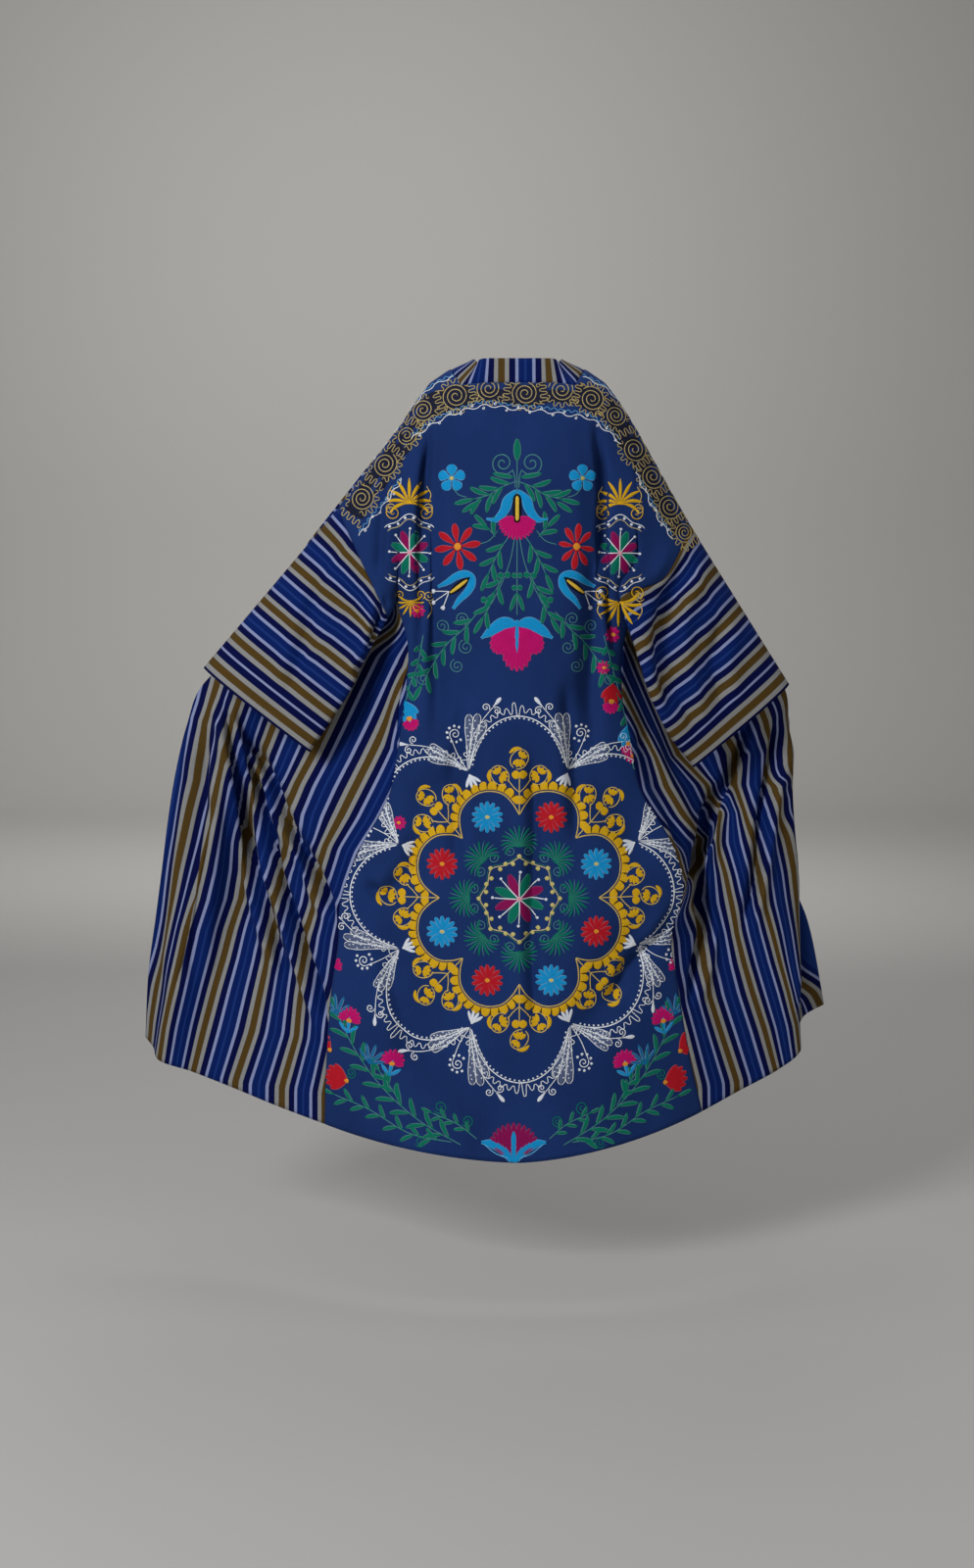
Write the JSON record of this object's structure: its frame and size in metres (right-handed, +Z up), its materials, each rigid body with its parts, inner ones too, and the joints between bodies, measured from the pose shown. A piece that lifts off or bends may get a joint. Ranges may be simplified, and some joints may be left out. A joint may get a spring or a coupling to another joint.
{
  "type": "chapan robe",
  "caption": "Long open robe with wide straight sleeves, an embroidered dark back and striped fronts, worn and held open at its front edges.",
  "frame": {"origin": "midway between the two shoulder points, beside the neck, where the wearer's shoulders carry the robe", "axes": "+Z up along the wearer's body, +Y the way the wearer faces, so the back of the robe faces -Y, and +X the wearer's right"},
  "size_m": [1.1506, 0.3027, 1.2638],
  "materials": {
    "navy_cloth": "matt cotton with chain stitch embroidery",
    "striped_cloth": "woven warp stripes with a slight sheen"
  },
  "bodies": {
    "root": {"back": "navy_cloth", "sleeve_upper_left": "navy_cloth", "sleeve_upper_right": "navy_cloth", "front_left": "striped_cloth", "front_right": "striped_cloth", "sleeve_lower_left": "striped_cloth", "sleeve_lower_right": "striped_cloth", "neckband": "striped_cloth", "pocket_left": "striped_cloth"}
  },
  "joints": []
}
